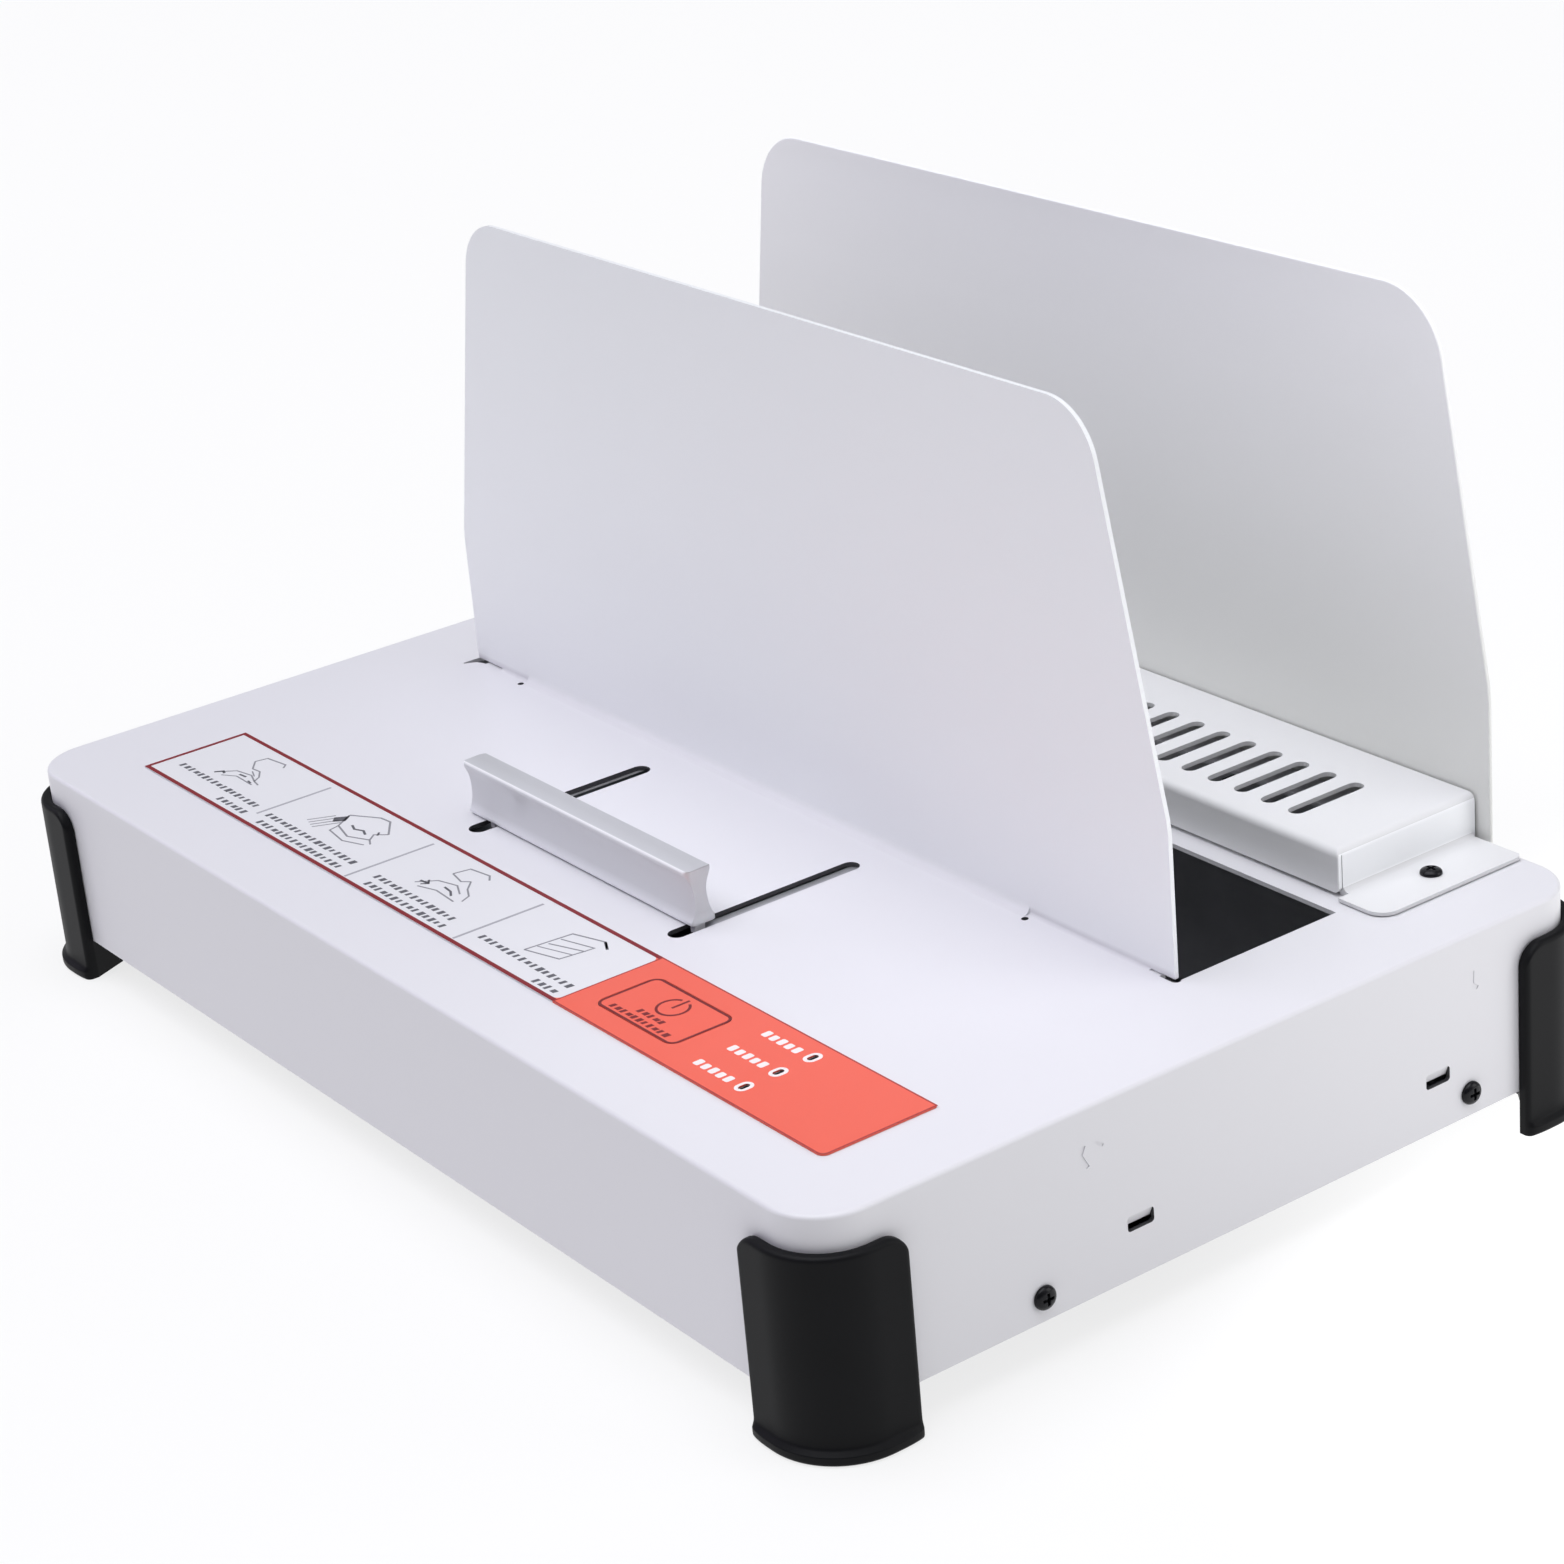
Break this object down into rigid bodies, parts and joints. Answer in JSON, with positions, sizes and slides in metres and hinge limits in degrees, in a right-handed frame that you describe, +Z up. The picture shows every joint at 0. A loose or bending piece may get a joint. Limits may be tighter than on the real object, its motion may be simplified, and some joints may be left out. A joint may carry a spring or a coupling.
{
  "type": "thermal binding machine",
  "caption": "Thermal binding machine: low sheet-metal case on corner feet, front and rear paper supports, heated trough, sliding clamp with pull handle, key, lights and vented rear housing.",
  "frame": {"origin": "centre of the case in plan, on the surface that the feet stand on", "axes": "+X to the right along the case length, as seen from the front, +Y to the rear, +Z up"},
  "size_m": [0.3816, 0.2486, 0.2007],
  "materials": {
    "case_paint": "fine satin powder coat, near-white with a lavender cast",
    "plate_paint": "fine satin powder coat, pale grey",
    "base_zinc": "zinc-plated sheet",
    "foot_black": "satin black moulding",
    "screw_black": "black oxide",
    "screw_zinc": "zinc-plated",
    "overlay_film": "printed film, white and coral red",
    "key_red": "satin coral red",
    "switch_dark": "dark plastic",
    "led_dark": "dark lens",
    "board_green": "solder mask",
    "handle_grey": "pale grey coated extrusion",
    "carriage_steel": "zinc-plated sheet",
    "pad_rubber": "matt silicone strip",
    "rod_chrome": "ground and plated",
    "block_black": "moulded nylon",
    "trough_zinc": "zinc-plated sheet",
    "insulation": "pressed mineral board",
    "heater_silicone": "silicone heater mat",
    "plate_alu": "milled",
    "coil_copper": "lacquered windings and core",
    "relay_blue": "moulded case",
    "can_dark": "sleeved can",
    "terminal_green": "moulded block",
    "inlet_black": "black moulding",
    "lever_ivory": "moulded acetal"
  },
  "bodies": {
    "case_body": {"base_plate": "base_zinc", "capacitor": "can_dark", "control_board": "board_green", "control_overlay": "overlay_film", "flange_screw_left": "screw_black", "flange_screw_right": "screw_black", "foot_front_left": "foot_black", "foot_front_right": "foot_black", "foot_rear_left": "foot_black", "foot_rear_right": "foot_black", "foot_screw_front_left": "screw_zinc", "foot_screw_front_right": "screw_zinc", "foot_screw_rear_left": "screw_zinc", "foot_screw_rear_right": "screw_zinc", "guide_rod_left": "rod_chrome", "guide_rod_right": "rod_chrome", "heater_strip": "heater_silicone", "heating_plate": "plate_alu", "inlet_socket": "inlet_black", "insulation_pad": "insulation", "key_switch": "switch_dark", "led_1": "led_dark", "led_2": "led_dark", "led_3": "led_dark", "main_board": "board_green", "rear_housing": "case_paint", "rear_plate": "plate_paint", "rear_screw_1": "screw_black", "rear_screw_2": "screw_black", "rear_screw_3": "screw_black", "rear_screw_4": "screw_black", "relay": "relay_blue", "rocker_body": "inlet_black", "rod_block_front_left": "block_black", "rod_block_front_right": "block_black", "rod_block_rear_left": "block_black", "rod_block_rear_right": "block_black", "sensor_switch": "switch_dark", "side_screw_left_front": "screw_black", "side_screw_left_rear": "screw_black", "side_screw_right_front": "screw_black", "side_screw_right_rear": "screw_black", "terminal_block": "terminal_green", "thermal_cutout": "switch_dark", "top_case": "case_paint", "transformer": "coil_copper", "trough_frame": "trough_zinc"},
    "clamp_slide_body": {"carriage": "carriage_steel", "pull_handle": "handle_grey", "clamp_pad": "pad_rubber"},
    "start_key_body": {"start_key": "key_red"},
    "rocker_pivot_body": {"rocker": "switch_dark"},
    "sensor_lever_body": {"sensor_lever": "lever_ivory"}
  },
  "joints": [
    {"name": "clamp_slide", "type": "slide", "parent": "case_body", "child": "clamp_slide_body", "axis": [0, 1, 0], "range_m": [0, 0.045]},
    {"name": "start_key_press", "type": "slide", "parent": "case_body", "child": "start_key_body", "axis": [0, 0, -1], "range_m": [0, 0.0008], "stiffness_N_per_m": 2000, "springref_m": -0.0002},
    {"name": "power_rocker", "type": "hinge", "parent": "case_body", "child": "rocker_pivot_body", "pos_m": [0.078, 0.1172, 0.0275], "axis": [0, 0, 1], "range_deg": [0, 18]},
    {"name": "sensor_lever_tilt", "type": "hinge", "parent": "case_body", "child": "sensor_lever_body", "pos_m": [0, 0.0742, 0.031], "axis": [1, 0, 0], "range_deg": [0, 20], "stiffness_Nm_per_rad": 0.02, "springref_deg": -5.73}
  ]
}
